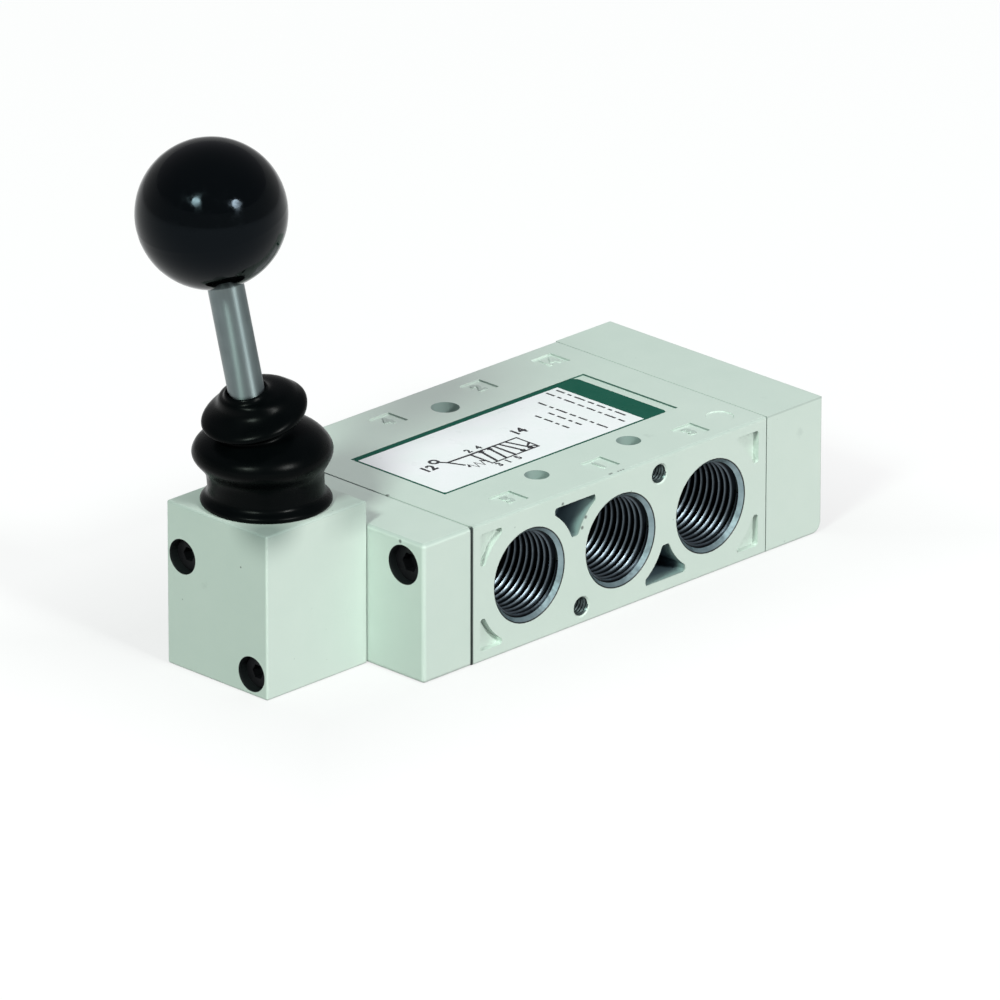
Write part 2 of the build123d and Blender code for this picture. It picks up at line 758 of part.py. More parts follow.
# Rod, its lock nut, the ball and the insert that joins them
insert_bottom = knob_height - sqrt((knob_dia / 2) ** 2 - (knob_flat_dia / 2) ** 2)
rod_bottom = hub_boss_height - rod_engagement
rod_top = insert_bottom + insert_length - insert_roof
with BuildPart() as lever_rod:
    with BuildSketch(lever_plane.offset(rod_bottom)):
        Circle(rod_dia / 2)
    extrude(amount=rod_top - rod_bottom)
    chamfer(lever_rod.edges().sort_by(lever_axis)[0], rod_chamfer)
    chamfer(lever_rod.edges().sort_by(lever_axis)[-1], rod_chamfer)
lever_rod.part.label = "lever_rod"
export_step(lever_rod.part, "parts/lever_rod.step")

with BuildPart() as lever_lock_nut:
    with BuildSketch(lever_plane.offset(hub_boss_height)):
        RegularPolygon(nut_across_flats / 2, 6, major_radius=False)
        Circle(rod_dia / 2 + press_clearance, mode=Mode.SUBTRACT)
    extrude(amount=nut_height)
lever_lock_nut.part.label = "lever_lock_nut"
export_step(lever_lock_nut.part, "parts/lever_lock_nut.step")

with BuildPart() as knob_insert:
    with BuildSketch(lever_plane.offset(insert_bottom)):
        Circle(insert_dia / 2)
    extrude(amount=insert_length)
    with BuildSketch(lever_plane.offset(insert_bottom)):
        Circle(rod_dia / 2 + press_clearance)
    extrude(amount=insert_length - insert_roof, mode=Mode.SUBTRACT)
knob_insert.part.label = "knob_insert"
export_step(knob_insert.part, "parts/knob_insert.step")

with BuildPart() as ball_knob:
    knob_radius = knob_dia / 2
    with BuildSketch(lever_side):
        with BuildLine():
            Polyline((0, knob_height + knob_radius), (0, insert_bottom), (knob_flat_dia / 2, insert_bottom))
            ThreePointArc(
                (knob_flat_dia / 2, insert_bottom), (knob_radius, knob_height), (0, knob_height + knob_radius)
            )
        make_face()
    revolve(axis=lever_axis)
    with BuildSketch(lever_plane.offset(insert_bottom)):
        Circle(insert_dia / 2 + press_clearance)
    extrude(amount=insert_length, mode=Mode.SUBTRACT)
ball_knob.part.label = "ball_knob"
export_step(ball_knob.part, "parts/ball_knob.step")


# Dust boot: a bellows that leans with the lever, from the collar up to the rod
def boot_ring_plane(height, share):
    """The plane of one of the boot's rings, turned about the pivot by its share of the tilt."""
    turn = radians(lever_tilt * share)
    up = Vector(-sin(turn), 0, cos(turn))
    return Plane(origin=pivot + up * (height - pivot_rise), x_dir=(cos(turn), 0, sin(turn)), z_dir=up)


boot_rings = [(height, share, collar_dia / 2 + out) for height, share, out in boot_lower_rings]
boot_rings += [(height, share, rod_dia / 2 + out) for height, share, out in boot_upper_rings]
with BuildPart() as boot_hollow:
    with BuildSketch(boot_ring_plane(collar_rise, 0)):
        Circle(collar_dia / 2 + boot_collar_clearance)
    inner_rings = [ring for ring in boot_rings if collar_rise + boot_wall < ring[0] < boot_shoulder]
    for height, share, radius in inner_rings:
        with BuildSketch(boot_ring_plane(height, share)):
            Circle(radius - boot_wall)
    loft(ruled=True)
    with BuildSketch(Plane.XY.offset(housing_height)):
        with Locations((pivot_x, 0)):
            Circle(collar_dia / 2 + boot_collar_clearance)
    extrude(amount=collar_rise)
    with BuildSketch(boot_ring_plane(inner_rings[-1][0] - boot_wall, 1)):
        Circle(rod_dia / 2 + boot_rod_clearance)
    extrude(amount=boot_rings[-1][0] - inner_rings[-1][0] + 2 * boot_wall)

with BuildPart() as dust_boot:
    for height, share, radius in boot_rings:
        with BuildSketch(boot_ring_plane(height, share)):
            Circle(radius)
    loft()
    add(boot_hollow.part, mode=Mode.SUBTRACT)
dust_boot.part.label = "dust_boot"
export_step(dust_boot.part, "parts/dust_boot.step")
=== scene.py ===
import json
from math import cos, pi, radians, sin, sqrt

import bpy
from mathutils import Matrix, Vector

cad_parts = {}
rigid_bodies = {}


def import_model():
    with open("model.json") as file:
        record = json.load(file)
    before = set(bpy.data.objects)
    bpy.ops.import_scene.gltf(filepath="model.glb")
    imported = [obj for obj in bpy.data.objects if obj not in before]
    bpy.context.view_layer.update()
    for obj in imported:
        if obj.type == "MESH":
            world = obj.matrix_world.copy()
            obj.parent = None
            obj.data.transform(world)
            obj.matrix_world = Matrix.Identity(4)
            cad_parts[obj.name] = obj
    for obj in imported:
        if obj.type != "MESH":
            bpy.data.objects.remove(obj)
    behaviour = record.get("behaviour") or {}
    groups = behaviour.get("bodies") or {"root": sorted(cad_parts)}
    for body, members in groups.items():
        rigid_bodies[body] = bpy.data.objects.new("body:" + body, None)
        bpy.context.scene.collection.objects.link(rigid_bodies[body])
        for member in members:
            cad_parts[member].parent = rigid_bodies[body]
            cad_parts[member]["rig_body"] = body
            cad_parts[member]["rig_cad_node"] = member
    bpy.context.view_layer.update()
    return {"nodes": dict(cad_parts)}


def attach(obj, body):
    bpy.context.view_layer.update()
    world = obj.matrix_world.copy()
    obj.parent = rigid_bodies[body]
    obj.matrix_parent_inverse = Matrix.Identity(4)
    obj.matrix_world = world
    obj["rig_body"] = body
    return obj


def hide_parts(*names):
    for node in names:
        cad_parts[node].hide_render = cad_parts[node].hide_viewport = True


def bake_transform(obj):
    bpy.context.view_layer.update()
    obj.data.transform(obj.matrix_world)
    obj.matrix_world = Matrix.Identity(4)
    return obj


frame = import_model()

MM = 0.001


# Camera
# It stands where the photograph was taken from: far off with a long lens, in front of the lever's end.
aim = Vector((-21.1, -2.78, 16.0)) * MM
camera_turn, camera_rise, camera_roll = radians(-45.31), radians(21.882), radians(0.093)
camera_distance, aside, below = 2828.91 * MM, -9.69 * MM, -6.75 * MM
focal_pixels, photo_pixels, sensor = 12862.18, 1000, 36.0

back = Vector((sin(camera_turn) * cos(camera_rise), -cos(camera_turn) * cos(camera_rise), sin(camera_rise)))
across = Vector((-back.y, back.x, 0)).normalized()
upward = back.cross(across)
right = across * cos(camera_roll) + upward * sin(camera_roll)
up = upward * cos(camera_roll) - across * sin(camera_roll)
bpy.ops.object.camera_add(location=aim - right * aside - up * below + back * camera_distance)
camera = bpy.context.object
camera.name = "photo_camera"
camera.rotation_euler = Matrix((right, up, back)).transposed().to_euler()
camera.data.sensor_width = sensor
camera.data.lens = focal_pixels * sensor / photo_pixels
camera.data.clip_end = 50
bpy.context.scene.camera = camera
bpy.context.scene.view_settings.view_transform = "Standard"


# Floor and light
# A white table that sweeps up all round, two soft lamps either side of the camera and a dim room.
class Wire:
    """A shader's socket. Sums, products and the like of wires add their Math nodes."""

    def __init__(self, tree, socket=None):
        self.tree, self.socket = tree, socket

    def node(self, kind, settings=None, inputs=None, out=0):
        made = self.tree.nodes.new("ShaderNode" + kind)
        for name, value in (settings or {}).items():
            if name == "stops":
                for place, colour in value[1:-1]:
                    made.color_ramp.elements.new(place)
                for stop, (place, colour) in zip(made.color_ramp.elements, value):
                    stop.position, stop.color = place, colour
            else:
                setattr(made, name, value)
        for name, value in (inputs or {}).items():
            if isinstance(value, Wire):
                self.tree.links.new(value.socket, made.inputs[name])
            else:
                made.inputs[name].default_value = value
        return Wire(self.tree, made.outputs[out])

    def maths(self, operation, *others):
        return self.node("Math", {"operation": operation}, dict(enumerate((self,) + others)))

    def __add__(self, other):
        return self.maths("ADD", other)

    def __sub__(self, other):
        return self.maths("SUBTRACT", other)

    def __rsub__(self, other):
        return self.node("Math", {"operation": "SUBTRACT"}, {0: other, 1: self})

    def __mul__(self, other):
        return self.maths("MULTIPLY", other)

    __radd__, __rmul__ = __add__, __mul__

    def either(self, other):
        return self.maths("MAXIMUM", other)

    def distance(self):
        return self.maths("ABSOLUTE")

    def ease(self, start, end, low=0.0, high=1.0):
        """From low to high while the value goes from start to end."""
        ends = {"Value": self, "From Min": start, "From Max": end, "To Min": low, "To Max": high}
        return self.node("MapRange", None, ends)

    def pick(self, off, on):
        """The colour on where the value is 1 and the colour off where it is 0."""
        return self.node("Mix", {"data_type": "RGBA"}, {0: self, 6: off, 7: on}, out=2)

    def feed(self, shader, socket):
        self.tree.links.new(self.socket, shader.inputs[socket])

    def emboss(self, shader, strength, depth):
        """Raise the surface where the pattern is high."""
        height = {"Strength": strength, "Distance": depth, "Height": self}
        self.node("Bump", None, height).feed(shader, "Normal")


def bare_finish(name, **values):
    """A new material with its shader and the wire of its places, where its pattern starts."""
    material = bpy.data.materials.new(name)
    material.use_nodes = True
    shader = material.node_tree.nodes["Principled BSDF"]
    for socket, value in values.items():
        shader.inputs[socket.replace("_", " ")].default_value = value
    return material, shader, Wire(material.node_tree).node("TexCoord", out="Object")


def parts_of(place):
    """The X, Y and Z of a place."""
    return [place.node("SeparateXYZ", None, {0: place}, out=axis) for axis in range(3)]


def deselect():
    bpy.ops.object.select_all(action="DESELECT")


table_level = -0.05 * MM
table_radius = 4.0
sweep = [(0.45, 0.04), (0.4, 0.2), (0.25, 0.45), (0.05, 1.2)]
deselect()
bpy.ops.mesh.primitive_circle_add(
    vertices=128, radius=table_radius, fill_type="NGON", location=(0, 0, table_level)
)
table = bpy.context.object
table.name = "studio_table"
bpy.ops.object.mode_set(mode="EDIT")
bpy.ops.mesh.select_mode(type="EDGE")
bpy.ops.mesh.select_all(action="SELECT")
radius = table_radius
for out, rise in sweep:
    bpy.ops.mesh.region_to_loop()
    bpy.ops.mesh.extrude_edges_move(TRANSFORM_OT_translate={"value": (0, 0, rise)})
    bpy.ops.transform.resize(value=((radius + out) / radius, (radius + out) / radius, 1))
    radius += out
bpy.ops.object.mode_set(mode="OBJECT")
bpy.ops.object.transform_apply(location=True, rotation=False, scale=False)
bpy.ops.object.shade_smooth()

table_white, table_share = (0.99, 0.99, 0.99, 1), 0.20
glow_near, glow_far, glow_start, glow_end = 0.82, 0.45, 0.7, 2.5
foot_x, foot_half_x, foot_half_y = -14 * MM, 78 * MM, 33 * MM
painted_foot_shadow, foot_reach = 0.9, 40 * MM
material, shader, place = bare_finish("table_white", Roughness=0.9)
shader.inputs["Specular IOR Level"].default_value = 0.0
shader.inputs["Base Color"].default_value = [part * table_share for part in table_white[:3]] + [1]
shader.inputs["Emission Color"].default_value = table_white
seen = place.node("LightPath", out="Is Camera Ray").either(place.node("LightPath", out="Is Glossy Ray"))
seen = seen.either(place.node("LightPath", out="Is Transmission Ray"))
x, y, z = parts_of(place)
from_valve = (x * x + y * y + z * z).maths("SQRT")
# Painted shadow: the table's glow is dimmed close to the valve's footprint
beside = ((x - foot_x).distance() - foot_half_x).either(y.distance() - foot_half_y)
glow_level = from_valve.ease(glow_start, glow_end, glow_near, glow_far)
glow_level = glow_level * beside.ease(0, foot_reach, painted_foot_shadow, 1.0)
glow = place.node("Emission", None, {"Color": table_white, "Strength": glow_level})
plain = Wire(place.tree, shader.outputs[0])
lit = place.node("AddShader", None, {0: plain, 1: glow})
shown = place.node("MixShader", None, {0: seen, 1: plain, 2: lit})
shown.feed(place.tree.nodes["Material Output"], "Surface")
table.data.materials.append(material)

room_colour, room_strength = (1.0, 1.0, 1.08, 1), 0.3
room = bpy.data.worlds.new("dim_room")
room.use_nodes = True
room.node_tree.nodes["Background"].inputs["Color"].default_value = room_colour
room.node_tree.nodes["Background"].inputs["Strength"].default_value = room_strength
bpy.context.scene.world = room

lamp_target = Vector((-60, 0, 60)) * MM
lamp_reach, lamp_width = 3.4, 0.7
for name, direction, power, tint in (
    ("left_lamp", (-0.767, -0.243, 0.595), 79.0, (0.84, 1.0, 0.89)),
    ("right_lamp", (-0.024, -0.868, 0.497), 88.0, (0.965, 1.0, 0.97)),
):
    deselect()
    direction = Vector(direction).normalized()
    bpy.ops.object.light_add(type="AREA", location=lamp_target + direction * lamp_reach)
    lamp = bpy.context.object
    lamp.name = name
    lamp.rotation_euler = direction.to_track_quat("Z", "Y").to_euler()
    lamp.data.shape, lamp.data.size = "DISK", lamp_width
    lamp.data.energy, lamp.data.color = power, tint


# Painted blocks: main body, end plates and lever housing
# Die cast and machined aluminium under one coat of pale grey-green paint. Bores and pockets were cut
# or masked. Shade is painted dark into them, into holes and recesses, on edges and along a joint, and the
# boot's shade is painted on the housing; the faces have the specks and stains of use.
def dress(material, *names):
    """Give CAD nodes a better material."""
    for name in names:
        for slot in frame["nodes"][name].material_slots:
            slot.material = material


def noise(place, scale, detail=2.0, rough=0.5):
    inputs = {"Vector": place, "Scale": scale, "Detail": detail, "Roughness": rough}
    return place.node("TexNoise", None, inputs)


def around(place, point, full, gone):
    """1 nearer to a point than full and 0 farther than gone, in millimetres."""
    point = [part * MM for part in point]
    away = place.node("VectorMath", {"operation": "DISTANCE"}, {0: place, 1: point}, out="Value")
    return away.ease(gone * MM, full * MM)


def off_axis(one, other):
    """How far a point is from an axis where both values are zero."""
    return (one * one + other * other).maths("SQRT")


def hole(one, other, radius):
    """1 inside a round hole whose axis is where both values are zero."""
    return off_axis(one, other).ease(radius, radius - 0.1 * MM)


def band(value, centre, half, soft=0.1 * MM):
    """1 where a value is less than half from its centre, with a soft edge inside that."""
    return (value - centre).distance().ease(half, half - soft)


def from_port(x, shift=0.0):
    """How far along X a point is from its nearest port. The far row is shifted by half a pitch."""
    return x - port_pitch * ((x * (1 / port_pitch) - shift).maths("ROUND") + shift)


paint_light, paint_deep = (0.650, 0.725, 0.672, 1), (0.590, 0.680, 0.625, 1)
# The stain colour serves real specks and smears and painted shade; the near black serves chips and painted
# shade in bores and along the joint
stain_and_shade_colour, chip_and_shade_colour = (0.16, 0.22, 0.20, 1), (0.012, 0.015, 0.016, 1)
hole_shade_colour, seat_shade_colour = (0.27, 0.35, 0.33, 1), (0.03, 0.10, 0.08, 1)

paint, shader, place = bare_finish("cast_paint", Roughness=0.46)
x, y, z = parts_of(place)
clouds = noise(place, 22, 3).ease(0.3, 0.7)
mottle = noise(place, 160, 4, 0.6).ease(0.25, 0.75)
tone = (clouds * 0.65 + mottle * 0.35).pick(paint_deep, paint_light)

# Chips as (place, size), and the boot's shade painted on the housing as (place, size, strength)
chips = [
    ((-45.9, -6.4, 32.5), 0.42), ((-91.6, -7.5, 29.0), 0.2), ((-61.1, -25.6, 31.5), 0.4),
    ((-2.8, -32.1, 32.5), 0.3), ((-2.2, -32.0, 32.5), 0.3), ((-0.3, -32.2, 32.5), 0.25),
    ((0.5, -32.2, 32.5), 0.25), ((1.3, -32.2, 32.5), 0.25), ((-11.0, -32.8, 24.9), 0.4),
    ((-12.1, -32.8, 22.7), 0.4), ((-18.2, -32.8, 30.0), 0.35),
]
boot_shade_marks = [((-89.0, -13.0, 38.2), 10.0, 0.72), ((-64.0, -15.5, 34.0), 11.0, 0.5)]
for point, size in chips:
    tone = (around(place, point, 0.6 * size, 1.4 * size) * 0.75).pick(tone, chip_and_shade_colour)
speck_cells = place.node("TexVoronoi", None, {"Vector": place, "Scale": 190})
specks = (speck_cells + noise(place, 2500, 1) * 0.05).ease(0.075, 0.045) * noise(place, 45).ease(0.46, 0.56)
smear_cells = place.node("TexVoronoi", None, {"Vector": place, "Scale": 55})
smears = (smear_cells + noise(place, 900, 2) * 0.16).ease(0.16, 0.06) * 0.4
tone = (specks * 0.6).either(smears * 0.5).pick(tone, stain_and_shade_colour)
# Painted shade of the boot on the housing's top and port side
for point, size, strength in boot_shade_marks:
    boot_shade = around(place, point, 0.2 * size, size) * z.ease(30 * MM, 38 * MM) * strength
    tone = boot_shade.pick(tone, stain_and_shade_colour)

# Painted shade: the deep pockets between the ports darken inwards
body_side, body_top, housing_top = 32.8 * MM, 32.5 * MM, 38.2 * MM
port_pitch, port_height, port_mouth, blend = 28.5 * MM, 16.25 * MM, 11.0 * MM, 0.05 * MM
pocket_half_x, pocket_half_z, upper_pocket_z, lower_pocket_z = 6.6 * MM, 4.4 * MM, 25.4 * MM, 7.1 * MM
pocket_shade_tones = [
    (0.0, (0.30, 0.36, 0.35, 1)), (0.12, (0.25, 0.36, 0.35, 1)), (0.5, (0.08, 0.12, 0.14, 1)),
    (1.0, (0.03, 0.05, 0.065, 1)),
]
pocket_rim, pocket_dark, pocket_floor_y = 0.15 * MM, 7.0 * MM, -24 * MM
pocket_depth = (y + body_side).ease(pocket_rim, pocket_dark)
upper_pocket = band(x, -port_pitch / 2, pocket_half_x) * band(z, upper_pocket_z, pocket_half_z)
lower_pocket = band(x, port_pitch / 2, pocket_half_x) * band(z, lower_pocket_z, pocket_half_z)
in_pocket = upper_pocket.either(lower_pocket) * y.ease(pocket_floor_y + 1 * MM, pocket_floor_y)
pocket_shade_colour = pocket_depth.node("ValToRGB", {"stops": pocket_shade_tones}, {0: pocket_depth})
tone = (in_pocket * pocket_depth.ease(0, 0.02)).pick(tone, pocket_shade_colour)


def rounded_edge(top):
    """The rounding just under a top face."""
    return z.ease(top - 0.6 * MM, top - 0.3 * MM) * z.ease(top - 0.003 * MM, top - 0.04 * MM)


# Painted shade on the rounded top edges, on the walls of the marks' recesses and the label's seat,
# and along the joint's dark line
rim_y, rim_near_x, rim_far_x, plate_end_x, rim_soft = 31.3 * MM, -60.0 * MM, 63.3 * MM, -61.3 * MM, 0.3 * MM
on_rim = y.distance().ease(rim_y, rim_y + rim_soft).either(x.ease(rim_near_x, rim_near_x - rim_soft))
on_rim = on_rim.either(x.ease(rim_far_x, rim_far_x + rim_soft))
on_rim = on_rim * x.ease(plate_end_x - 0.1 * MM, plate_end_x)
# Painted shade dims the rounded top edges
shaded_edges = (rounded_edge(body_top) * on_rim).either(rounded_edge(housing_top))
tone = (shaded_edges * 0.3).pick(tone, stain_and_shade_colour)

near_x, far_x = from_port(x), from_port(x, 0.5)
near_marks_y, far_marks_y, mark_half_x, mark_half_y = -26.3 * MM, 25.3 * MM, 3.5 * MM, 3.4 * MM
mark_wall_x, mark_wall_half_x, mark_wall_half_y = 3.3 * MM, 0.3 * MM, 3.2 * MM
sunk_wall_z, sunk_wall_half, sunk_wall_soft = 32.24 * MM, 0.22 * MM, 0.04 * MM
sunk_wall = band(z, sunk_wall_z, sunk_wall_half, sunk_wall_soft)
marks_inside = band(near_x, 0, mark_half_x) * band(y, near_marks_y, mark_half_y)
marks_inside = marks_inside.either(band(far_x, 0, mark_half_x) * band(y, far_marks_y, mark_half_y))
far_wall = band(near_x, mark_wall_x, mark_wall_half_x, blend) * band(y, near_marks_y, mark_wall_half_y)
far_wall = far_wall.either(
    band(far_x, mark_wall_x, mark_wall_half_x, blend) * band(y, far_marks_y, mark_wall_half_y)
)
# Painted shade on the walls of the marks' recesses, darkest on each wall at +X
tone = (sunk_wall * marks_inside * 0.3).pick(tone, stain_and_shade_colour)
tone = (sunk_wall * far_wall * 0.7).pick(tone, stain_and_shade_colour)
# Painted shade, dark green, on the walls of the label's seat
seat_x, seat_half_x, seat_y, seat_half_y = -0.2 * MM, 36.9 * MM, -0.3 * MM, 15.0 * MM
in_seat = band(x, seat_x, seat_half_x) * band(y, seat_y, seat_half_y)
tone = (sunk_wall * in_seat).pick(tone, seat_shade_colour)
# Painted shade along the adapter's joint on the port face widens its dark line
joint_x, joint_half, joint_soft, joint_y = -46.35 * MM, 0.55 * MM, 0.15 * MM, -32.5 * MM
joint_shade = band(x, joint_x, joint_half, joint_soft) * y.ease(joint_y + 0.7 * MM, joint_y)
tone = (joint_shade * 0.85).pick(tone, chip_and_shade_colour)

# Fixing holes, with painted shade on their walls
near_hole_x, near_hole_y, near_hole_radius = 14.4 * MM, -21.1 * MM, 2.85 * MM
far_hole_y, far_hole_radius, holes_half_x = 21.6 * MM, 3.3 * MM, 30 * MM
fixing = hole(x.distance() - near_hole_x, y - near_hole_y, near_hole_radius)
fixing = fixing.either(hole(x, y - far_hole_y, far_hole_radius)) * band(x, 0, holes_half_x)
tone = fixing.pick(tone, hole_shade_colour)

# Painted shade in the bores: ports, the screws' counterbores and the small tapped holes are painted near
# black
near_row, far_row, end_plates_x = 42.5 * MM, 28.5 * MM, 39 * MM
end_screw_y, end_screw_high, end_screw_low, end_screw_radius = 26.6 * MM, 26.3 * MM, 6.2 * MM, 4.6 * MM
housing_screw_y, housing_screw_high, housing_screw_low = 10.65 * MM, 26.25 * MM, 4.95 * MM
housing_screw_radius = 4.1 * MM
tap_x, tap_low, tap_high, tap_radius = 12.2 * MM, 4.05 * MM, 28.45 * MM, 2.2 * MM
near_ports = hole(near_x, z - port_height, port_mouth + blend) * y.ease(0, -blend) * band(x, 0, near_row)
far_ports = hole(far_x, z - port_height, port_mouth + blend) * y.ease(0, blend) * band(x, 0, far_row)
end_holes = hole(y + end_screw_y, z - end_screw_high, end_screw_radius)
end_holes = end_holes.either(hole(y - end_screw_y, z - end_screw_low, end_screw_radius))
end_holes = end_holes * x.distance().ease(end_plates_x, end_plates_x + 0.2 * MM)
housing_holes = hole(y - housing_screw_y, z - housing_screw_high, housing_screw_radius)
housing_holes = housing_holes.either(hole(y + housing_screw_y, z - housing_screw_low, housing_screw_radius))
housing_holes = housing_holes * x.ease(plate_end_x, plate_end_x - 0.2 * MM)
taps = hole(x + tap_x, z - tap_low, tap_radius).either(hole(x - tap_x, z - tap_high, tap_radius))
taps = taps * y.ease(0, -blend)
dark = near_ports.either(far_ports).either(end_holes).either(housing_holes).either(taps)
tone = dark.pick(tone, chip_and_shade_colour)

tone.feed(shader, "Base Color")
(mottle * 0.08 + 0.42 + specks * 0.15).feed(shader, "Roughness")
skin = noise(place, 1400, 3, 0.6) * 0.6 + noise(place, 260, 3) * 0.4 - specks * 0.4
skin.emboss(shader, 0.35, 0.06 * MM)
dress(paint, "valve_body", "adapter_block", "end_cap", "lever_housing")


# Gaskets
# Thin sheet rubber, cut a little short of the blocks' edges, so each joint shows as a fine line.
gasket, shader, place = bare_finish("gasket_sheet", Roughness=0.8)
noise(place, 700, 3).pick((0.012, 0.022, 0.022, 1), (0.03, 0.045, 0.045, 1)).feed(shader, "Base Color")
noise(place, 3000, 2).emboss(shader, 0.3, 0.05 * MM)
dress(gasket, "adapter_gasket", "cap_gasket", "housing_gasket", "stem_seal")


# Screws
# Black oxide socket head screws, set deep in their counterbores, with a trace of oil.
oxide, shader, place = bare_finish("black_oxide", Metallic=0.2, Roughness=0.5)
shader.inputs["Specular IOR Level"].default_value = 0.15
noise(place, 500, 3).pick((0.003, 0.003, 0.004, 1), (0.01, 0.01, 0.012, 1)).feed(shader, "Base Color")
noise(place, 900, 2).ease(0.3, 0.7, 0.42, 0.6).feed(shader, "Roughness")
noise(place, 2600, 2).emboss(shader, 0.25, 0.04 * MM)
dress(oxide, "adapter_screws", "cap_screws", "housing_screws")


# Port threads
# Each port has a parallel pipe thread, cut with a tap after casting. Its crests are lighter and shade is
# painted near black into its roots. The mouth is countersunk and shows a ring of bare machined metal.
def wire_mesh(name, lines, closed=False):
    """Draw lines vertex by vertex, each from its first point to its last."""
    deselect()
    bpy.ops.mesh.primitive_plane_add(size=MM)
    drawn = bpy.context.object
    drawn.name = name
    bpy.ops.object.mode_set(mode="EDIT")
    bpy.ops.mesh.select_mode(type="VERT")
    bpy.ops.mesh.select_all(action="SELECT")
    bpy.ops.mesh.merge(type="CENTER")
    here = Vector((0, 0, 0))
    for number, line in enumerate(lines):
        start = Vector(line[0])
        if number:
            bpy.ops.mesh.duplicate_move(TRANSFORM_OT_translate={"value": start - here})
        else:
            bpy.ops.transform.translate(value=start - here)
        here = start
        for point in line[1:]:
            bpy.ops.mesh.extrude_vertices_move(TRANSFORM_OT_translate={"value": Vector(point) - here})
            here = Vector(point)
    if closed:
        bpy.ops.object.mode_set(mode="OBJECT")
        drawn.data.vertices[0].select = True
        bpy.ops.object.mode_set(mode="EDIT")
        bpy.ops.mesh.edge_face_add()
    bpy.ops.object.mode_set(mode="OBJECT")
    return drawn


def modifier(piece, kind, **settings):
    """Add a modifier to the one selected piece and apply it."""
    added = piece.modifiers.new(kind.lower(), kind)
    for name, value in settings.items():
        setattr(added, name, value)
    bpy.ops.object.modifier_apply(modifier=added.name)


def close_holes(piece):
    """Fill the open ends and point all faces outwards."""
    bpy.ops.object.mode_set(mode="EDIT")
    bpy.ops.mesh.select_all(action="SELECT")
    bpy.ops.mesh.remove_doubles(threshold=0.001 * MM)
    bpy.ops.mesh.select_all(action="SELECT")
    bpy.ops.mesh.fill_holes(sides=0)
    bpy.ops.mesh.select_all(action="SELECT")
    bpy.ops.mesh.normals_make_consistent(inside=False)
    bpy.ops.object.mode_set(mode="OBJECT")


def settle(piece, location=(0, 0, 0), turn=(0, 0, 0)):
    """Put a piece in its place and leave its object at the origin."""
    deselect()
    piece.select_set(True)
    bpy.context.view_layer.objects.active = piece
    piece.location, piece.rotation_euler = location, turn
    bpy.ops.object.transform_apply(location=True, rotation=True, scale=True)


def copied(piece, name):
    """A copy of a piece with its own mesh."""
    twin = piece.copy()
    twin.data = piece.data.copy()
    twin.name = name
    bpy.context.collection.objects.link(twin)
    return twin


def cut_thread(name, pitch, root, crest, turns, start, sides, runout=0.75):
    """One ridge wound along +Z, which grows out of the wall over its first part of a turn."""
    sunk = 0.02 * MM
    half, flat = pitch * 0.47, pitch * 0.07
    shoulder, round_over = crest + (root - crest) * 0.14, pitch * 0.13
    outline = [
        (root + sunk, -half), (shoulder, -round_over), (crest, -flat), (crest, flat), (shoulder, round_over),
        (root + sunk, half),
    ]
    ridge = wire_mesh(name, [[(r, 0, start + half + height) for r, height in outline]], closed=True)
    modifier(ridge, "SCREW", axis="Z", screw_offset=pitch, iterations=turns, steps=sides, render_steps=sides)
    for vertex in ridge.data.vertices:
        at = vertex.co
        wound = (at.z - start) / pitch - 0.5
        grown = min(1.0, max(0.12, wound / runout + 0.6))
        reach = sqrt(at.x ** 2 + at.y ** 2)
        wanted = root + sunk - (root + sunk - reach) * grown
        at.x, at.y = at.x * wanted / reach, at.y * wanted / reach
    close_holes(ridge)
    bpy.ops.object.shade_smooth_by_angle(angle=radians(40))
    return ridge


def turned_ring(name, outline, sides):
    """A closed ring turned from its outline of (radius, height) points."""
    deselect()
    radius, height = outline[0]
    bpy.ops.mesh.primitive_circle_add(vertices=sides, radius=radius, location=(0, 0, height))
    ring = bpy.context.object
    ring.name = name
    bpy.ops.object.transform_apply(location=True, rotation=False, scale=False)
    bpy.ops.object.mode_set(mode="EDIT")
    bpy.ops.mesh.select_mode(type="VERT")
    bpy.ops.mesh.select_all(action="SELECT")
    for wider, higher in outline[1:] + outline[:1]:
        bpy.ops.mesh.extrude_edges_move(TRANSFORM_OT_translate={"value": (0, 0, higher - height)})
        bpy.ops.transform.resize(value=(wider / radius, wider / radius, 1), center_override=(0, 0, higher))
        radius, height = wider, higher
    bpy.ops.object.mode_set(mode="OBJECT")
    close_holes(ring)
    bpy.ops.object.shade_smooth_by_angle(angle=radians(35))
    return ring


thread_metal, shader, place = bare_finish("tapped_metal", Metallic=1.0, Roughness=0.3)
x, y, z = parts_of(place)
dark_from, bright_from = 9.75 * MM, 9.35 * MM
near_axis = off_axis(from_port(x), z - port_height)
far_axis = off_axis(from_port(x, 0.5), z - port_height)
to_axis = y.ease(0, blend) * far_axis + y.ease(blend, 0) * near_axis
# Painted shade: the thread darkens to near black towards its roots
crest_light = to_axis.ease(dark_from, bright_from)
crest_light.pick((0.006, 0.008, 0.010, 1), (0.13, 0.16, 0.185, 1)).feed(shader, "Base Color")
noise(place, 600, 3).ease(0.3, 0.7, 0.26, 0.42).feed(shader, "Roughness")
noise(place, 1800, 3).emboss(shader, 0.3, 0.05 * MM)

mouth_metal, shader, place = bare_finish("countersunk_metal", Metallic=0.85, Roughness=0.36)
noise(place, 350, 3).pick((0.16, 0.23, 0.26, 1), (0.38, 0.48, 0.51, 1)).feed(shader, "Base Color")
noise(place, 1100, 3).ease(0.3, 0.7, 0.28, 0.48).feed(shader, "Roughness")
noise(place, 2400, 3).emboss(shader, 0.25, 0.04 * MM)

